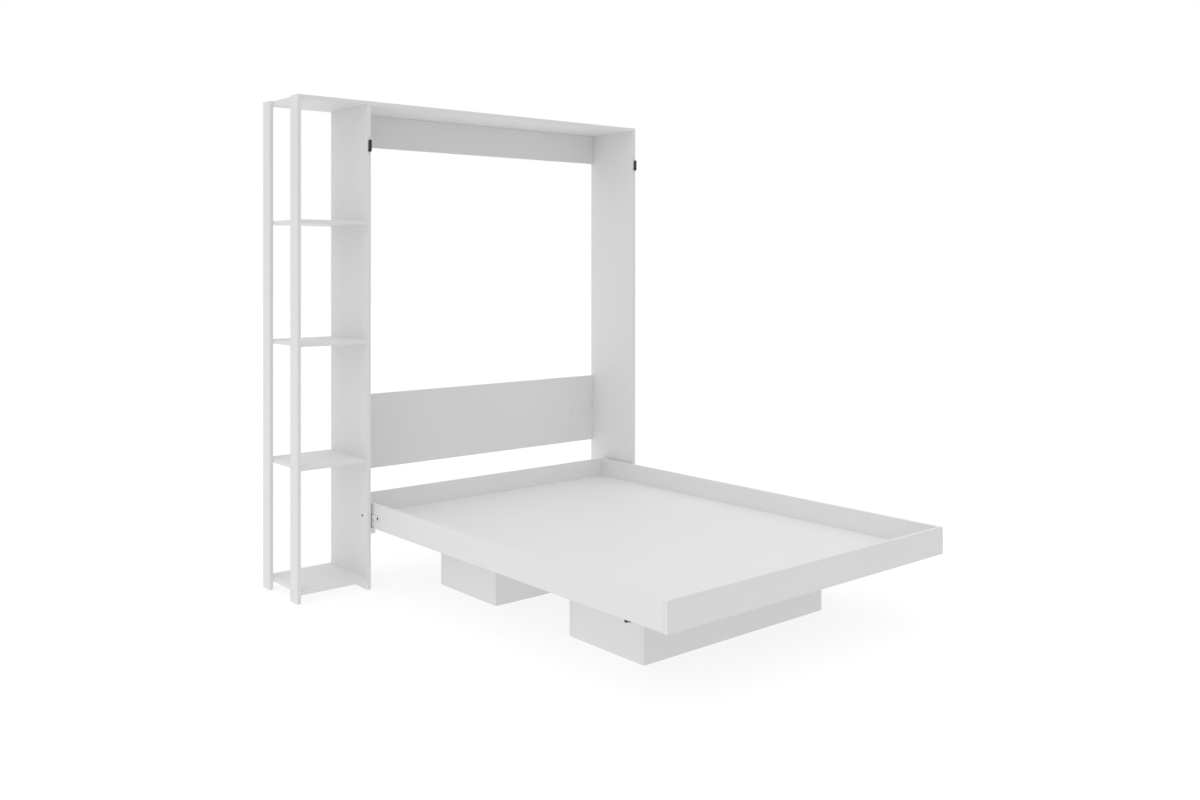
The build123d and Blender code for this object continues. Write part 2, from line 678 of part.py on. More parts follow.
def turn_button(x):
    """Turn button that stands on its screw and swings inward over the shut bed's keeper."""
    with BuildPart() as piece:
        with BuildSketch(Plane.XZ.offset(-button_back)):
            with Locations((x, button_z + button_reach / 2)):
                SlotCenterToCenter(button_reach, button_width, rotation=90)
        extrude(amount=button_arm)
        chamfer(faces().sort_by(Axis.Y)[0].edges(), 1.0)
        with BuildSketch(Plane.XZ.offset(-button_back)):
            with Locations((x, button_z)):
                Circle(button_width / 2)
        extrude(amount=-button_foot)
        front = button_back - button_arm
        drill([(x, front, button_z)], FRONT, button_screw_radius + 0.06, button_arm + button_foot)
        drill([(x, front, button_z)], FRONT, 4.3, 2.4)
    return piece


def keeper(x):
    """Keeper under a bed rail: a thin seat for the button's arm and a stop beside it."""
    with BuildPart() as piece:
        with BuildSketch(Plane.XY.offset(leg_height)):
            with Locations((x, keeper_middle)):
                SlotCenterToCenter(keeper_length - button_width, button_width, rotation=90)
        extrude(amount=-keeper_stop)
        chamfer(faces().sort_by(Axis.Z)[0].edges(), 1.0)
        with Locations((x, stop_edge, leg_height - keeper_seat)):
            Box(button_width + 2, keeper_length, keeper_stop,
                align=(Align.CENTER, Align.MAX, Align.MAX), mode=Mode.SUBTRACT)
        drill(keeper_screw_places(x), DOWN, 1.55, keeper_stop)
        drill(keeper_screw_places(x), DOWN, 3.1, keeper_stop - 2.0)
    return piece


def keeper_screw_places(x):
    """The keeper's two screws, as mouths at the level of its lowest face."""
    return [(x, y, leg_height - keeper_stop) for y in keeper_rows]


keeper_x = {"left": bed_left + board / 2, "right": bed_right - board / 2}

left_turn_button = turn_button(button_x["left"])
right_turn_button = turn_button(button_x["right"])
left_keeper = keeper(keeper_x["left"])
right_keeper = keeper(keeper_x["right"])
screw_seat = button_back - button_arm + 2.35

with BuildPart() as button_screws:
    for x in button_x.values():
        rods([(x, screw_seat, button_z)], FRONT, button_screw_radius, y_front - screw_seat + button_screw_depth - 1)
        with Locations(*at([(x, screw_seat, button_z)], FRONT)):
            Cylinder(4.0, 2.2, align=OUTWARD)
        drill([(x, screw_seat - 2.2, button_z)], FRONT, 1.2, 1.6)

with BuildPart() as button_washers:
    for x in button_x.values():
        rods([(x, y_front - button_washer + clearance, button_z)], FRONT, 5.0, button_washer - clearance)
        drill([(x, y_front - button_washer, button_z)], FRONT, button_screw_radius + clearance, button_washer)

with BuildPart() as keeper_screws:
    for x in keeper_x.values():
        heads = [(x, y, leg_height - 2.05) for _, y, _ in keeper_screw_places(x)]
        rods(heads, DOWN, 1.5, 14)
        with Locations(*at(heads, DOWN)):
            Cylinder(2.9, 1.6, align=OUTWARD)

# ---- export ------------------------------------------------------------------------
pieces = {
    "left_front_post": left_front_post, "left_rear_post": left_rear_post,
    "middle_panel": middle_panel, "right_panel": right_panel, "top_panel": top_panel,
    "bottom_shelf": bottom_shelf, "lower_shelf": lower_shelf,
    "middle_shelf": middle_shelf, "upper_shelf": upper_shelf,
    "top_back_rail": top_back_rail, "middle_back_rail": middle_back_rail,
    "shelf_screws": shelf_screws, "top_screws": top_screws, "back_rail_screws": back_rail_screws,
    "screw_caps": screw_caps, "cabinet_dowels": cabinet_dowels, "cabinet_glides": cabinet_glides,
    "left_cabinet_plate": left_cabinet_plate, "right_cabinet_plate": right_cabinet_plate,
    "cabinet_plate_bolts": cabinet_plate_bolts, "cabinet_plate_nuts": cabinet_plate_nuts,
    "cabinet_plate_screws": cabinet_plate_screws,
    "pivot_pins": pivot_pins, "pivot_washers": pivot_washers, "pivot_bushes": pivot_bushes,
    "left_bed_arm": left_bed_arm, "right_bed_arm": right_bed_arm,
    "arm_bolts": arm_bolts, "arm_inserts": arm_inserts,
    "left_side_rail": left_side_rail, "right_side_rail": right_side_rail,
    "foot_rail": foot_rail, "head_rail": head_rail, "tray_base": tray_base,
    "tray_cams": tray_cams, "cam_covers": cam_covers, "tray_cam_bolts": tray_cam_bolts, "tray_dowels": tray_dowels,
    "foot_leg_front": foot_leg_front, "foot_leg_back": foot_leg_back,
    "foot_leg_left": foot_leg_left, "foot_leg_right": foot_leg_right, "foot_leg_bottom": foot_leg_bottom,
    "head_leg_front": head_leg_front, "head_leg_back": head_leg_back,
    "head_leg_left": head_leg_left, "head_leg_right": head_leg_right, "head_leg_bottom": head_leg_bottom,
    "leg_box_cams": leg_box_cams, "leg_box_cam_bolts": leg_box_cam_bolts, "leg_box_dowels": leg_box_dowels,
    "leg_brackets": leg_brackets, "leg_glides": leg_glides,
    "left_keeper": left_keeper, "right_keeper": right_keeper, "keeper_screws": keeper_screws,
    "left_turn_button": left_turn_button, "right_turn_button": right_turn_button,
    "button_screws": button_screws, "button_washers": button_washers,
}
for name, piece in pieces.items():
    piece.part.label = name
    export_step(piece.part, f"parts/{name}.step")
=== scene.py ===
"""Looks of a murphy wall bed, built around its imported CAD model."""

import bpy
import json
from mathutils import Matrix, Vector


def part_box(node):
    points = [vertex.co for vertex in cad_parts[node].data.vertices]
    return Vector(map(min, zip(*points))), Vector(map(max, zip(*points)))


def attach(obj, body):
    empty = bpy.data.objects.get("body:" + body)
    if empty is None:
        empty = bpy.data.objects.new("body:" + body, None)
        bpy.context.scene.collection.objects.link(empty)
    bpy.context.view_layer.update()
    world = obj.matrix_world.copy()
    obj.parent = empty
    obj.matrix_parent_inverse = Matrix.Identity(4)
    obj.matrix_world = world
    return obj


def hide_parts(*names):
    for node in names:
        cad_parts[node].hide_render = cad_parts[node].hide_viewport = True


bl_info = {
    "name": "Murphy wall bed",
    "version": (1, 0, 0),
    "blender": (4, 5, 0),
    "location": "3D View > Sidebar > Wall Bed",
    "description": "Finishes the boards and models the fittings of a folding wall bed",
    "category": "Object",
}

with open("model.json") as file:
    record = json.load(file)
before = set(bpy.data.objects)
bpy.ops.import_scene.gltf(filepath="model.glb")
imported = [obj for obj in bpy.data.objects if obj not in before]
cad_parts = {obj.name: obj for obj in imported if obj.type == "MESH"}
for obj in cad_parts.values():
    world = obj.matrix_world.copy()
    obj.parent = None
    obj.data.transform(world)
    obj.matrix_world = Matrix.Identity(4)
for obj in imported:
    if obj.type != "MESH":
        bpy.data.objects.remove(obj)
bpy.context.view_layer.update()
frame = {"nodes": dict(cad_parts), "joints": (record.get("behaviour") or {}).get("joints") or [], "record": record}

import json
import math

import bmesh
import bpy
from mathutils import Vector

SLOTS = {m["slot"]: m for m in frame["record"]["materials"]}
NODE_SLOTS = {s["node"]: s["material_slot"] for s in frame["record"]["subparts"]}
NODE_BODIES = {n: body for body, nodes in frame["record"]["behaviour"]["bodies"].items() for n in nodes}
JOINTS = {joint["name"]: joint for joint in frame["joints"]}
MM = 0.001


def slot_colour(slot):
    """The record's colour of a material slot, as a default for a property."""
    return tuple(SLOTS[slot]["base_color"][:3])


# ---- properties -------------------------------------------------------------------
class WallBedSizes(bpy.types.PropertyGroup):
    """Sizes of the fittings and of the boards' finish"""

    band: bpy.props.FloatProperty(
        name="Edge band", description="Thickness of the edge banding", default=0.9 * MM, unit="LENGTH")
    glue_line: bpy.props.FloatProperty(
        name="Glue line", description="Width of the joint between banding and laminate", default=0.16 * MM,
        unit="LENGTH")
    steel_edge: bpy.props.FloatProperty(
        name="Steel edge", description="Rounding of the pressed steel parts", default=0.45 * MM,
        unit="LENGTH")
    moulded_edge: bpy.props.FloatProperty(
        name="Moulded edge", description="Rounding of the moulded plastic parts", default=0.9 * MM,
        unit="LENGTH")
    cap_rim: bpy.props.FloatProperty(
        name="Cap rim", description="Width of the raised rim of a screw cap", default=1.1 * MM, unit="LENGTH")
    grip_grooves: bpy.props.IntProperty(
        name="Grip grooves", description="Grooves across the free end of a turn button", default=4,
        min=1, max=8)


class WallBedColours(bpy.types.PropertyGroup):
    """Colours of the finishes"""

    laminate: bpy.props.FloatVectorProperty(
        name="Laminate", description="White melamine face", subtype="COLOR", size=3, min=0, max=1,
        default=(0.795, 0.795, 0.8))
    banding: bpy.props.FloatVectorProperty(
        name="Edge banding", description="White plastic edge band", subtype="COLOR", size=3, min=0, max=1,
        default=(0.785, 0.787, 0.795))
    zinc: bpy.props.FloatVectorProperty(
        name="Zinc", description="Bright zinc plating", subtype="COLOR", size=3, min=0, max=1,
        default=slot_colour("zinc_steel"))
    powder_coat: bpy.props.FloatVectorProperty(
        name="Powder coat", description="White hinge plates and arms", subtype="COLOR", size=3, min=0, max=1,
        default=(0.78, 0.78, 0.785))
    black: bpy.props.FloatVectorProperty(
        name="Black plastic", description="Moulded turn buttons and keepers", subtype="COLOR", size=3,
        min=0, max=1, default=slot_colour("black_plastic"))
    nylon: bpy.props.FloatVectorProperty(
        name="Nylon", description="Glides, washers and bushes", subtype="COLOR", size=3, min=0, max=1,
        default=slot_colour("natural_plastic"))
    beech: bpy.props.FloatVectorProperty(
        name="Beech", description="Bare dowels", subtype="COLOR", size=3, min=0, max=1,
        default=slot_colour("beech"))
    floor: bpy.props.FloatVectorProperty(
        name="Floor", description="Pale studio floor", subtype="COLOR", size=3, min=0, max=1,
        default=(0.36, 0.36, 0.36))


class WallBedLight(bpy.types.PropertyGroup):
    """Strengths of the soft light that reaches the bed from each side"""

    around: bpy.props.FloatProperty(
        name="All round", description="Even light from every side", default=0.47, min=0)
    above: bpy.props.FloatProperty(
        name="Above", description="Soft light from above", default=0.7, min=0)
    left: bpy.props.FloatProperty(
        name="Left", description="Soft light from the shelf side", default=0.27, min=0)
    front: bpy.props.FloatProperty(
        name="Front", description="Soft light from the foot of the bed", default=0.0, min=0)
    below: bpy.props.FloatProperty(
        name="Below", description="Light thrown back by the floor", default=0.56, min=0)
    key: bpy.props.FloatProperty(
        name="Key", description="Large soft lamp above the left front corner", default=0.06, min=0)


def sizes():
    """The size properties in use."""
    return bpy.context.scene.wall_bed_sizes


def colours():
    """The colour properties in use."""
    return bpy.context.scene.wall_bed_colours


def light():
    """The light properties in use."""
    return bpy.context.scene.wall_bed_light


# ---- shader building ----------------------------------------------------------------
MIX_COLOURS, MIX_RESULT = slice(6, 8), 2        # a Mix node's colour inputs and colour output


class Value:
    """A shader socket that takes part in Python arithmetic."""

    def __init__(self, shader, socket):
        self.shader = shader
        self.socket = socket

    def maths(self, operation, *others):
        return self.shader.node("ShaderNodeMath", {"operation": operation}, [self, *others])

    def __add__(self, other):
        return self.maths("ADD", other)

    __radd__ = __add__

    def __mul__(self, other):
        return self.maths("MULTIPLY", other)

    __rmul__ = __mul__

    def __sub__(self, other):
        return self.maths("SUBTRACT", other)

    def __rsub__(self, other):
        return self.shader.node("ShaderNodeMath", {"operation": "SUBTRACT"}, [other, self])

    def low(self, other):
        """The smaller of the two."""
        return self.maths("MINIMUM", other)

    def high(self, other):
        """The larger of the two."""
        return self.maths("MAXIMUM", other)

    def band(self, low, high):
        """0 at low and 1 at high, held outside them. Low may be the larger."""
        settings = {"interpolation_type": "SMOOTHSTEP", "clamp": True}
        if low > high:
            return 1 - self.band(high, low)
        inputs = {"Value": self, "From Min": low, "From Max": high}
        return self.shader.node("ShaderNodeMapRange", settings, inputs)


class Shader:
    """A material or world being built, with one method that adds any node."""

    def __init__(self, name, store=None):
        self.material = (bpy.data.materials if store is None else store).new(name)
        self.material.use_nodes = True
        self.tree = self.material.node_tree
        self.tree.nodes.clear()

    def node(self, kind, settings=None, inputs=None, output=0):
        """Adds a node: its settings first, then its sockets' values or links."""
        node = self.tree.nodes.new(kind)
        for key, value in (settings or {}).items():
            setattr(node, key, value)
        pairs = inputs.items() if isinstance(inputs, dict) else enumerate(inputs or [])
        for key, value in pairs:
            if isinstance(value, Value):
                self.tree.links.new(value.socket, node.inputs[key])
            else:
                node.inputs[key].default_value = value
        return None if output is None else Value(self, node.outputs[output])

    def place(self, scale=(1, 1, 1)):
        """Object coordinates, stretched."""
        coordinates = self.node("ShaderNodeTexCoord", output="Object")
        return self.node("ShaderNodeMapping", {}, {"Vector": coordinates, "Scale": scale})

    def axes(self):
        """Object X, Y and Z as three values."""
        coordinates = self.node("ShaderNodeTexCoord", output="Object")
        split = self.node("ShaderNodeSeparateXYZ", {}, [coordinates]).socket.node
        return [Value(self, split.outputs[i]) for i in range(3)]

    def noise(self, size, detail, rough, place=None, distortion=0.0):
        """Noise whose features are about size across."""
        inputs = {"Scale": 1 / size, "Detail": detail, "Roughness": rough, "Distortion": distortion}
        inputs["Vector"] = place or self.place()
        return self.node("ShaderNodeTexNoise", {}, inputs, "Fac")

    def mix(self, factor, first, second):
        """Two colours mixed by a factor."""
        node = self.node("ShaderNodeMix", {"data_type": "RGBA"}, {"Factor": factor}).socket.node
        for socket, colour in zip(node.inputs[MIX_COLOURS], (first, second)):
            if isinstance(colour, Value):
                self.tree.links.new(colour.socket, socket)
            else:
                socket.default_value = (*colour, 1.0)
        return Value(self, node.outputs[MIX_RESULT])

    def bump(self, height, distance, strength, under=None):
        """A relief of this height, on top of another relief if one is given."""
        inputs = {"Height": height, "Distance": distance, "Strength": strength}
        if under:
            inputs["Normal"] = under
        return self.node("ShaderNodeBump", {}, inputs)

    def principled(self, **sockets):
        """A Principled BSDF with these sockets set or linked."""
        inputs = {key.replace("_", " "): value for key, value in sockets.items()}
        for key, value in inputs.items():
            if isinstance(value, tuple) and len(value) == 3 and key.endswith("Color"):
                inputs[key] = (*value, 1.0)
        return self.node("ShaderNodeBsdfPrincipled", {}, inputs)

    def close(self, surface):
        """Ends the material in a surface."""
        self.node("ShaderNodeOutputMaterial", {}, {"Surface": surface}, None)
        return self.material

    def finish(self, **sockets):
        """Ends the material in a Principled BSDF."""
        return self.close(self.principled(**sockets))


ZINC_TARNISH = (0.62, 0.6, 0.52)
BLACKENED, WORN_STEEL = (0.03, 0.03, 0.032), (0.16, 0.15, 0.14)
CAP_WHITE = (0.79, 0.79, 0.79)


def tone(colour, factor):
    """A colour made lighter or darker."""
    return tuple(min(1.0, channel * factor) for channel in colour)


def laminate(node):
    """Melamine board: pebbled faces, smooth edge banding, and the glue line between them."""
    low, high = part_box(node)
    spans = [high[i] - low[i] for i in range(3)]
    thin = spans.index(min(spans))
    sides = [i for i in range(3) if i != thin]
    s = Shader(f"laminate_{node}")
    axis = s.axes()
    reach = [(axis[i] - low[i]).low(high[i] - axis[i]) for i in sides]
    inset = reach[0].low(reach[1])
    band, line = sizes().band, sizes().glue_line
    banding = inset.band(band, band - 0.05 * MM)
    seam = inset.band(band - line, band) * inset.band(band + 2 * line, band + line)
    corner = (axis[thin] - low[thin]).low(high[thin] - axis[thin]).high(inset)
    arris = corner.band(2.6 * MM, 0.7 * MM)
    pebble = s.noise(0.9 * MM, 2.0, 0.55)
    orange = s.noise(2.6 * MM, 1.0, 0.5)
    cloud = s.noise(0.34, 3.0, 0.55)
    smudge = s.noise(0.055, 4.0, 0.62, distortion=0.6).band(0.52, 0.78)
    grime = s.noise(0.012, 3.0, 0.6).band(0.45, 0.75)
    face = colours().laminate
    base = s.mix(cloud, tone(face, 0.985), tone(face, 1.012))
    base = s.mix(smudge * 0.35, base, tone(face, 0.965))
    base = s.mix(banding, base, tuple(colours().banding))
    base = s.mix(seam * 0.65, base, tone(face, 0.62))
    base = s.mix(arris * grime * 0.1, base, tone(face, 0.85))
    rough = 0.44 + (cloud - 0.5) * 0.16 + smudge * 0.1 - banding * 0.08 + (pebble - 0.5) * 0.12
    relief = s.bump(pebble * 0.6 + orange * 0.4, 0.09 * MM, 0.55)
    relief = s.bump(1 - seam, 0.12 * MM, 0.8, relief)
    return s.finish(Base_Color=base, Roughness=rough, Normal=relief, Specular_IOR_Level=0.42)


def zinc_plate():
    """Zinc plated steel: fine rolling marks, soft clouds and dull rubbed spots."""
    s = Shader("zinc_steel")
    rolled = s.noise(0.5 * MM, 3.0, 0.6, s.place((1, 0.06, 1)))
    cloud = s.noise(9 * MM, 3.0, 0.6)
    rub = s.noise(3 * MM, 4.0, 0.65).band(0.55, 0.7)
    colour = colours().zinc
    base = s.mix(cloud, tone(colour, 0.86), tone(colour, 1.1))
    base = s.mix(cloud.band(0.5, 0.75) * 0.25, base, ZINC_TARNISH)
    base = s.mix(rub * 0.4, base, tone(colour, 0.7))
    rough = 0.3 + rolled * 0.12 + rub * 0.14
    return s.finish(Base_Color=base, Metallic=1.0, Roughness=rough, Normal=s.bump(rolled, 0.03 * MM, 0.4))


def powder_coat():
    """White powder coat on steel: a fine orange peel with a few duller rubs."""
    s = Shader("white_steel")
    peel = s.noise(1.3 * MM, 2.0, 0.5)
    grain = s.noise(0.3 * MM, 2.0, 0.5)
    cloud = s.noise(14 * MM, 3.0, 0.6)
    rub = s.noise(4 * MM, 4.0, 0.7).band(0.66, 0.76)
    colour = colours().powder_coat
    base = s.mix(cloud, tone(colour, 0.975), tone(colour, 1.01))
    base = s.mix(rub * 0.3, base, tone(colour, 0.82))
    relief = s.bump(peel * 0.8 + grain * 0.2, 0.08 * MM, 0.5)
    return s.finish(Base_Color=base, Roughness=0.34 + (peel - 0.5) * 0.12 + rub * 0.16, Normal=relief)


def cast_zinc():
    """Die cast fittings: grainy, duller than plate."""
    s = Shader("cast_zinc")
    grain = s.noise(0.35 * MM, 4.0, 0.7)
    cloud = s.noise(5 * MM, 2.0, 0.5)
    base = s.mix(cloud, tone(colours().zinc, 0.78), tone(colours().zinc, 0.98))
    relief = s.bump(grain, 0.05 * MM, 0.5)
    return s.finish(Base_Color=base, Metallic=1.0, Roughness=0.42 + grain * 0.15, Normal=relief)


def black_steel():
    """Blackened screws, worn bright in places."""
    s = Shader("black_steel")
    wear = s.noise(1.4 * MM, 4.0, 0.6).band(0.6, 0.75)
    base = s.mix(wear, BLACKENED, WORN_STEEL)
    grain = s.noise(0.3 * MM, 2.0, 0.5)
    relief = s.bump(grain, 0.02 * MM, 0.4)
    return s.finish(Base_Color=base, Metallic=0.9, Roughness=0.42 + grain * 0.2, Normal=relief)


def plastic(name, colour, roughness, grain_size, speckle):
    """Moulded plastic with a spark-eroded grain and faint flow clouds."""
    s = Shader(name)
    grain = s.noise(grain_size, 3.0, 0.65)
    flow = s.noise(6 * MM, 3.0, 0.6, distortion=1.2)
    scuff = s.noise(1.1 * MM, 4.0, 0.7, s.place((1, 0.25, 1))).band(0.66, 0.78)
    base = s.mix(flow, tone(colour, 0.9), tone(colour, 1.08))
    base = s.mix(scuff * speckle, base, tuple(min(1.0, c * 1.2 + 0.05) for c in colour))
    rough = roughness + (grain - 0.5) * 0.18 + scuff * 0.1
    return s.finish(Base_Color=base, Roughness=rough, Normal=s.bump(grain, 0.05 * MM, 0.5))


def beech():
    """Bare beech with fine rays along the dowel."""
    s = Shader("beech")
    grain = s.noise(0.6 * MM, 4.0, 0.6, s.place((0.12, 1, 1)))
    rays = s.noise(0.25 * MM, 2.0, 0.5, s.place((0.3, 1, 1))).band(0.6, 0.7)
    base = s.mix(grain, tone(colours().beech, 0.8), tone(colours().beech, 1.08))
    base = s.mix(rays * 0.5, base, tone(colours().beech, 0.6))
    return s.finish(Base_Color=base, Roughness=0.62 + grain * 0.15, Normal=s.bump(grain, 0.06 * MM, 0.5))


FINISHES = {}


def finish_for(slot):
    """The shared material of a slot, made the first time it is asked for."""
    makers = {
        "zinc_steel": zinc_plate,
        "white_steel": powder_coat,
        "cast_zinc": cast_zinc,
        "black_steel": black_steel,
        "black_plastic": lambda: plastic("black_plastic", tuple(colours().black), 0.42, 0.28 * MM, 0.25),
        "white_plastic": lambda: plastic("white_plastic", CAP_WHITE, 0.36, 0.5 * MM, 0.1),
        "natural_plastic": lambda: plastic("natural_plastic", tuple(colours().nylon), 0.44, 0.4 * MM, 0.1),
        "beech": beech,
    }
    if slot not in FINISHES:
        FINISHES[slot] = makers[slot]()
    return FINISHES[slot]


def paint(piece, material):
    """Gives every face of a piece one material."""
    piece.data.materials.clear()
    piece.data.materials.append(material)


# ---- modelling helpers -----------------------------------------------------------------
WELD = 0.01 * MM
FLAT_ANGLE = math.radians(1.0)      # faces that meet at less are one face
SMOOTH_ANGLE = math.radians(32)
TINY = 1e-6


def deselect():
    """Leaves object mode with nothing selected."""
    if bpy.context.object and bpy.context.object.mode != "OBJECT":
        bpy.ops.object.mode_set(mode="OBJECT")
    bpy.ops.object.select_all(action="DESELECT")


def activate(piece):
    """Makes a piece the only one selected, and the active one."""
    deselect()
    piece.select_set(True)
    bpy.context.view_layer.objects.active = piece


def edit(piece):
    """Opens a piece in edit mode with nothing selected."""
    activate(piece)
    bpy.ops.object.mode_set(mode="EDIT")
    bpy.ops.mesh.select_all(action="DESELECT")


def pick_faces(piece, test):
    """Selects the faces of the piece in edit mode that pass a test of centre and normal."""
    bpy.ops.mesh.select_mode(type="FACE")
    bpy.ops.mesh.select_all(action="DESELECT")
    mesh = bmesh.from_edit_mesh(piece.data)
    for face in mesh.faces:
        face.select_set(test(face.calc_center_median(), face.normal))
    bmesh.update_edit_mesh(piece.data)


def pick_points(piece, test):
    """Selects the vertices of the piece in edit mode that pass a test of their place."""
    bpy.ops.mesh.select_mode(type="VERT")
    bpy.ops.mesh.select_all(action="DESELECT")
    mesh = bmesh.from_edit_mesh(piece.data)
    for vertex in mesh.verts:
        vertex.select_set(test(vertex.co))
    mesh.select_flush(True)
    bmesh.update_edit_mesh(piece.data)


def apply_modifier(piece, kind, **settings):
    """Adds a modifier with these settings and applies it."""
    activate(piece)
    modifier = piece.modifiers.new(kind.lower(), kind)
    for key, value in settings.items():
        setattr(modifier, key, value)
    bpy.ops.object.modifier_apply(modifier=modifier.name)


def round_edges(piece, width, segments, angle=35):
    """Rounds every edge sharper than an angle in degrees."""
    apply_modifier(piece, "BEVEL", width=width, segments=segments, limit_method="ANGLE",
                   angle_limit=math.radians(angle), use_clamp_overlap=True, miter_outer="MITER_ARC")


def cut(piece, cutter):
    """Cuts one piece out of another and removes the cutter."""
    apply_modifier(piece, "BOOLEAN", operation="DIFFERENCE", object=cutter, solver="EXACT")
    bpy.data.objects.remove(cutter)


def settle(piece, node):
    """Puts a finished piece's place in its mesh, and makes it stand for a CAD node and ride on its body."""
    activate(piece)
    bpy.ops.object.transform_apply(location=True, rotation=True, scale=True)
    bpy.ops.object.shade_smooth_by_angle(angle=SMOOTH_ANGLE)
    piece.name = f"{node}_finished"
    piece.data.name = piece.name
    paint(piece, finish_for(NODE_SLOTS[node]))
    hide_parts(node)
    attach(piece, NODE_BODIES[node])


def cylinder(radius, depth, place, outward, sides):
    """A cylinder whose axis looks outward, centred on a place."""
    turn = Vector((0, 0, 1)).rotation_difference(Vector(outward)).to_euler()
    deselect()
    bpy.ops.mesh.primitive_cylinder_add(vertices=sides, radius=radius, depth=depth, location=place,
                                        rotation=turn)
    return bpy.context.object


def join(pieces):
    """Joins pieces into the first one."""
    deselect()
    for piece in pieces:
        piece.select_set(True)
    bpy.context.view_layer.objects.active = pieces[0]
    bpy.ops.object.join()
    return pieces[0]


def duplicate(piece):
    """A loose copy with its own mesh."""
    copy = piece.copy()
    copy.data = piece.data.copy()
    copy.parent = None
    for key in list(copy.keys()):
        del copy[key]
    bpy.context.scene.collection.objects.link(copy)
    return copy


def softened(node, width, segments=2):
    """Stands a copy with its sharp edges rounded in for a CAD node."""
    piece = duplicate(frame["nodes"][node])
    edit(piece)
    bpy.ops.mesh.select_all(action="SELECT")
    bpy.ops.mesh.remove_doubles(threshold=WELD)
    bpy.ops.mesh.dissolve_limited(angle_limit=FLAT_ANGLE)
    bpy.ops.object.mode_set(mode="OBJECT")
    round_edges(piece, width, segments, 40)
    settle(piece, node)


# ---- operators -----------------------------------------------------------------------
SMALL_PART = 0.6                    # a small part's edges are rounded less than a plate's, by this factor
KEEPER_EDGE = 0.5 * MM

CAP_SIDES = 28
CAP_DISH, CAP_DISH_SLOPE = 0.25 * MM, 0.4 * MM
CAP_EDGE = 0.25 * MM
CAP_REACH = 2 * MM                  # a cap this near a panel's right face sits on it

BUTTON_ARM = 5.5 * MM
BUTTON_FOOT = 4.2 * MM              # lifts the arm off the panel's edge
BUTTON_SIDES = 36
FOOT_INSET, FOOT_OVERLAP, FOOT_SHIFT = 0.25 * MM, 0.4 * MM, 0.2 * MM
SEAT_RADIUS, SEAT_CUT, SEAT_SIDES = 4.3 * MM, 4.8 * MM, 32
BORE_RADIUS, BORE_CUT, BORE_SIDES = 2.06 * MM, 30 * MM, 24
GROOVE_RADIUS, GROOVE_LIFT, GROOVE_SIDES = 0.75 * MM, 0.25 * MM, 16
GROOVE_START, GROOVE_STEP, GROOVE_WIDTH = 6.0, 3.0, 0.78


class WALLBED_OT_boards(bpy.types.Operator):
    """Finish every laminated board"""

    bl_idname = "wallbed.boards"
    bl_label = "Laminated boards"

    def execute(self, context):
        for node, slot in NODE_SLOTS.items():
            if slot == "white_board":
                paint(frame["nodes"][node], laminate(node))
        return {"FINISHED"}


class WALLBED_OT_hidden_fittings(bpy.types.Operator):
    """Finish every CAD fitting with the material of its slot"""

    bl_idname = "wallbed.hidden_fittings"
    bl_label = "Fittings"

    def execute(self, context):
        for node, slot in NODE_SLOTS.items():
            if slot != "white_board":
                paint(frame["nodes"][node], finish_for(slot))
        return {"FINISHED"}


class WALLBED_OT_hinges(bpy.types.Operator):
    """Round the hinge plates, arms, bolts, sleeve nuts and pivot pins"""

    bl_idname = "wallbed.hinges"
    bl_label = "Hinges"

    def execute(self, context):
        edge = sizes().steel_edge
        for node in ("left_cabinet_plate", "right_cabinet_plate", "left_bed_arm", "right_bed_arm"):
            softened(node, edge)
        for node in ("cabinet_plate_nuts", "pivot_pins", "arm_bolts", "cabinet_plate_bolts"):
            softened(node, edge * SMALL_PART)
        return {"FINISHED"}


class WALLBED_OT_glides(bpy.types.Operator):
    """Round the floor glides"""

    bl_idname = "wallbed.glides"
    bl_label = "Floor glides"

    def execute(self, context):
        for node in ("cabinet_glides", "leg_glides"):
            softened(node, sizes().moulded_edge * SMALL_PART, 3)
        return {"FINISHED"}


def flat_cap(radius, depth):
    """A thin cap that looks up: a rounded rim round a slightly sunk middle."""
    cap = cylinder(radius, depth, (0, 0, 0), (0, 0, 1), CAP_SIDES)
    edit(cap)
    pick_faces(cap, lambda centre, normal: normal.z > 0.9)
    bpy.ops.mesh.inset(thickness=sizes().cap_rim, depth=0)
    bpy.ops.mesh.inset(thickness=CAP_DISH_SLOPE, depth=-CAP_DISH)
    bpy.ops.object.mode_set(mode="OBJECT")
    round_edges(cap, CAP_EDGE, 2, 50)
    return cap


def placed_copy(piece, place, outward):
    """A copy that looks outward instead of up, with its place in its mesh."""
    copy = duplicate(piece)
    copy.rotation_euler = Vector((0, 0, 1)).rotation_difference(outward).to_euler()
    copy.location = place
    activate(copy)
    bpy.ops.object.transform_apply(location=True, rotation=True, scale=True)
    return copy


def loose_parts(node):
    """Centre and size of each separate solid of a CAD node."""
    mesh = bmesh.new()
    mesh.from_mesh(frame["nodes"][node].data)
    bmesh.ops.remove_doubles(mesh, verts=mesh.verts, dist=WELD)
    left = set(mesh.verts)
    found = []
    while left:
        stack = [left.pop()]
        group = list(stack)
        while stack:
            for e in stack.pop().link_edges:
                for v in e.verts:
                    if v in left:
                        left.remove(v)
                        stack.append(v)
                        group.append(v)
        low = Vector([min(v.co[i] for v in group) for i in range(3)])
        high = Vector([max(v.co[i] for v in group) for i in range(3)])
        found.append(((low + high) / 2, high - low))
    mesh.free()
    return sorted(found, key=lambda item: tuple(round(c, 5) for c in item[0]))


def cabinet_cap_faces(centre, thin):
    """Which way a screw cap looks: up on the top panel, right on the panels, left on the posts."""
    if thin == 2:
        return 1
    _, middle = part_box("middle_panel")
    _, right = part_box("right_panel")
    return 1 if min(abs(centre.x - middle.x), abs(centre.x - right.x)) < CAP_REACH else -1


def tray_cap_faces(centre, thin):
    """Which way a cam cover looks: down under the tray, inward on its side rails."""
    low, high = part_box("tray_base")
    return -1 if thin == 2 or centre.x > (low.x + high.x) / 2 else 1


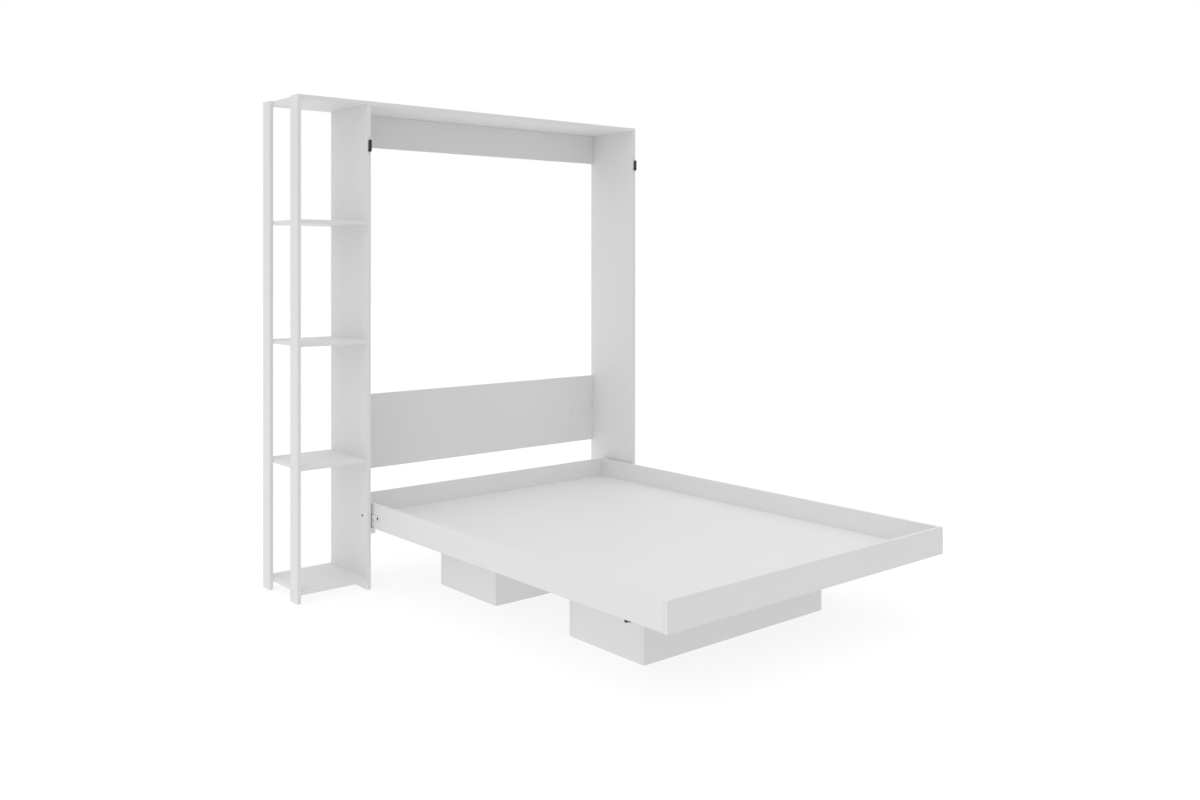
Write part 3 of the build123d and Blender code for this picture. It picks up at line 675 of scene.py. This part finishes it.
class WALLBED_OT_caps(bpy.types.Operator):
    """Model the round caps over the panel screws and the cam drums"""

    bl_idname = "wallbed.caps"
    bl_label = "Screw caps and cam covers"

    def execute(self, context):
        for node, faces in (("screw_caps", cabinet_cap_faces), ("cam_covers", tray_cap_faces)):
            parts = loose_parts(node)
            _, first_span = parts[0]
            pattern = flat_cap(max(first_span) / 2, min(first_span))
            caps = []
            for centre, span in parts:
                thin = list(span).index(min(span))
                outward = Vector((0, 0, 0))
                outward[thin] = faces(centre, thin)
                caps.append(placed_copy(pattern, centre, outward))
            bpy.data.objects.remove(pattern)
            settle(join(caps), node)
        return {"FINISHED"}


def stadium(width, length, depth, centre):
    """A flat bar with round ends that lies in X and Z, long in Z, and is depth thick in Y."""
    bar = cylinder(width / 2, depth, (0, 0, 0), (0, 1, 0), BUTTON_SIDES)
    activate(bar)
    bpy.ops.object.transform_apply(location=True, rotation=True, scale=True)
    edit(bar)
    for way in (-1, 1):
        pick_points(bar, lambda co: co.z * way > TINY)
        bpy.ops.transform.translate(value=(0, 0, way * (length - width) / 2))
    bpy.ops.object.mode_set(mode="OBJECT")
    bar.location = centre
    bpy.ops.object.transform_apply(location=True, rotation=True, scale=True)
    return bar


class WALLBED_OT_turn_buttons(bpy.types.Operator):
    """Model the two black turn buttons with grip grooves and a sunk screw seat"""

    bl_idname = "wallbed.turn_buttons"
    bl_label = "Turn buttons"

    def execute(self, context):
        left, right = (Vector(JOINTS[f"{side}_button_turn"]["pos_m"]) for side in ("left", "right"))
        first = self.button(left)
        second = duplicate(first)
        second.location = right - left
        settle(first, "left_turn_button")
        settle(second, "right_turn_button")
        return {"FINISHED"}

    def button(self, pivot):
        """The left button, standing up from its pivot."""
        low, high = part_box("left_turn_button")
        width = high.x - low.x
        middle = Vector(((low.x + high.x) / 2, low.y + BUTTON_ARM / 2, (low.z + high.z) / 2))
        body = stadium(width, high.z - low.z, BUTTON_ARM, middle)
        round_edges(body, sizes().moulded_edge, 3)
        place = (pivot.x, high.y - BUTTON_FOOT / 2 - FOOT_SHIFT, pivot.z)
        foot = cylinder(width / 2 - FOOT_INSET, BUTTON_FOOT + FOOT_OVERLAP, place, (0, 1, 0), BUTTON_SIDES)
        apply_modifier(body, "BOOLEAN", operation="UNION", object=foot, solver="EXACT")
        bpy.data.objects.remove(foot)
        front = (pivot.x, low.y, pivot.z)
        cut(body, cylinder(SEAT_RADIUS, SEAT_CUT, front, (0, 1, 0), SEAT_SIDES))
        cut(body, cylinder(BORE_RADIUS, BORE_CUT, front, (0, 1, 0), BORE_SIDES))
        for groove in range(sizes().grip_grooves):
            place = (pivot.x, low.y - GROOVE_LIFT, high.z - (GROOVE_START + GROOVE_STEP * groove) * MM)
            cut(body, cylinder(GROOVE_RADIUS, width * GROOVE_WIDTH, place, (1, 0, 0), GROOVE_SIDES))
        return body


class WALLBED_OT_keepers(bpy.types.Operator):
    """Round the keepers under the bed rails"""

    bl_idname = "wallbed.keepers"
    bl_label = "Keepers"

    def execute(self, context):
        for node in ("left_keeper", "right_keeper"):
            softened(node, KEEPER_EDGE)
        return {"FINISHED"}


# ---- stage -----------------------------------------------------------------------------
EYE_HEIGHT = 1.338
EYE_LEFT_OF_POST = 1.4555 * EYE_HEIGHT
EYE_BEFORE_FRONT = 3.0738 * EYE_HEIGHT
EYE_TURN = math.radians(40.354)
LENS, SENSOR = 33.83, 36.0
SHIFT_DOWN = -0.1148
FLOOR_SIZE = 60.0
FLOOR_DROP = 0.5 * MM
FLOOR_GLOW = 0.68
KEY_SPREAD = math.radians(60)
KEY_FROM = (-0.45, -0.25, 0.85)


class WALLBED_OT_stage(bpy.types.Operator):
    """Add the floor, the soft studio light and the camera"""

    bl_idname = "wallbed.stage"
    bl_label = "Stage"

    def execute(self, context):
        self.floor()
        self.world(context)
        self.lights()
        self.camera(context)
        return {"FINISHED"}

    def floor(self):
        """A pale floor that can be seen through from below, so that the underside shows."""
        deselect()
        bpy.ops.mesh.primitive_plane_add(size=FLOOR_SIZE, location=(0, 0, -FLOOR_DROP))
        floor = bpy.context.object
        floor.name = "studio_floor"
        floor.visible_diffuse = False
        floor.visible_shadow = False
        s = Shader("studio_floor")
        cloud = s.noise(0.8, 2.0, 0.5)
        base = s.mix(cloud, tone(colours().floor, 0.995), tone(colours().floor, 1.005))
        top = s.principled(Base_Color=base, Roughness=0.9, Emission_Color=(1.0, 1.0, 1.0),
                           Emission_Strength=FLOOR_GLOW, Specular_IOR_Level=0.1)
        under = s.node("ShaderNodeNewGeometry", output="Backfacing")
        clear = s.node("ShaderNodeBsdfTransparent")
        paint(floor, s.close(s.node("ShaderNodeMixShader", {}, [under, top, clear])))

    def world(self, context):
        """White where the camera looks past the bed; soft light that varies with its direction."""
        s = Shader("studio", bpy.data.worlds)
        coordinates = s.node("ShaderNodeTexCoord", output="Generated")
        split = s.node("ShaderNodeSeparateXYZ", {}, [coordinates]).socket.node
        x, y, z = (Value(s, socket) for socket in split.outputs)
        lamp = light()
        strength = lamp.around + lamp.above * z.high(0) + lamp.below * (0 - z).high(0)
        strength = strength + lamp.left * (0 - x).high(0) + lamp.front * (0 - y).high(0)
        seen = s.node("ShaderNodeLightPath", output="Is Camera Ray")
        glow = s.node("ShaderNodeBackground", {}, {"Color": (1.0, 1.0, 1.0, 1.0), "Strength": strength})
        white = s.node("ShaderNodeBackground", {}, {"Color": (1.0, 1.0, 1.0, 1.0), "Strength": 1.0})
        both = s.node("ShaderNodeMixShader", {}, [seen, glow, white])
        s.node("ShaderNodeOutputWorld", {}, {"Surface": both}, None)
        context.scene.world = s.material
        context.scene.view_settings.view_transform = "Standard"

    def lights(self):
        """A weak sun, wide enough to throw no sharp shadow."""
        deselect()
        bpy.ops.object.light_add(type="SUN", location=(-3, -2, 4))
        lamp = bpy.context.object
        lamp.name = "soft_key"
        lamp.data.energy = light().key
        lamp.data.angle = KEY_SPREAD
        lamp.rotation_euler = Vector(KEY_FROM).to_track_quat("Z", "Y").to_euler()

    def camera(self, context):
        """A level camera to the left of the shelves, turned towards the bed."""
        deselect()
        post_low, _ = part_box("left_front_post")
        place = (post_low.x - EYE_LEFT_OF_POST, post_low.y - EYE_BEFORE_FRONT, EYE_HEIGHT)
        bpy.ops.object.camera_add(location=place, rotation=(math.pi / 2, 0, -EYE_TURN))
        camera = bpy.context.object
        camera.name = "camera"
        camera.data.lens = LENS
        camera.data.sensor_width = SENSOR
        camera.data.shift_y = SHIFT_DOWN
        context.scene.camera = camera


class WALLBED_PT_panel(bpy.types.Panel):
    """Lists the wall bed's pieces"""

    bl_idname = "WALLBED_PT_panel"
    bl_label = "Wall bed"
    bl_space_type = "VIEW_3D"
    bl_region_type = "UI"
    bl_category = "Wall Bed"

    def draw(self, context):
        for operator in OPERATORS:
            self.layout.operator(operator.bl_idname)
        for group in (sizes(), colours(), light()):
            for name in group.__annotations__:
                self.layout.prop(group, name)


OPERATORS = (
    WALLBED_OT_stage, WALLBED_OT_boards, WALLBED_OT_hidden_fittings, WALLBED_OT_hinges, WALLBED_OT_glides,
    WALLBED_OT_caps, WALLBED_OT_turn_buttons, WALLBED_OT_keepers,
)
CLASSES = (WallBedSizes, WallBedColours, WallBedLight, *OPERATORS, WALLBED_PT_panel)


def register():
    for cls in CLASSES:
        bpy.utils.register_class(cls)
    bpy.types.Scene.wall_bed_sizes = bpy.props.PointerProperty(type=WallBedSizes)
    bpy.types.Scene.wall_bed_colours = bpy.props.PointerProperty(type=WallBedColours)
    bpy.types.Scene.wall_bed_light = bpy.props.PointerProperty(type=WallBedLight)


def unregister():
    del bpy.types.Scene.wall_bed_light
    del bpy.types.Scene.wall_bed_colours
    del bpy.types.Scene.wall_bed_sizes
    for cls in reversed(CLASSES):
        bpy.utils.unregister_class(cls)


def main():
    register()
    for operator in OPERATORS:
        group, name = operator.bl_idname.split(".")
        getattr(getattr(bpy.ops, group), name)()


if __name__ == "__main__":
    main()
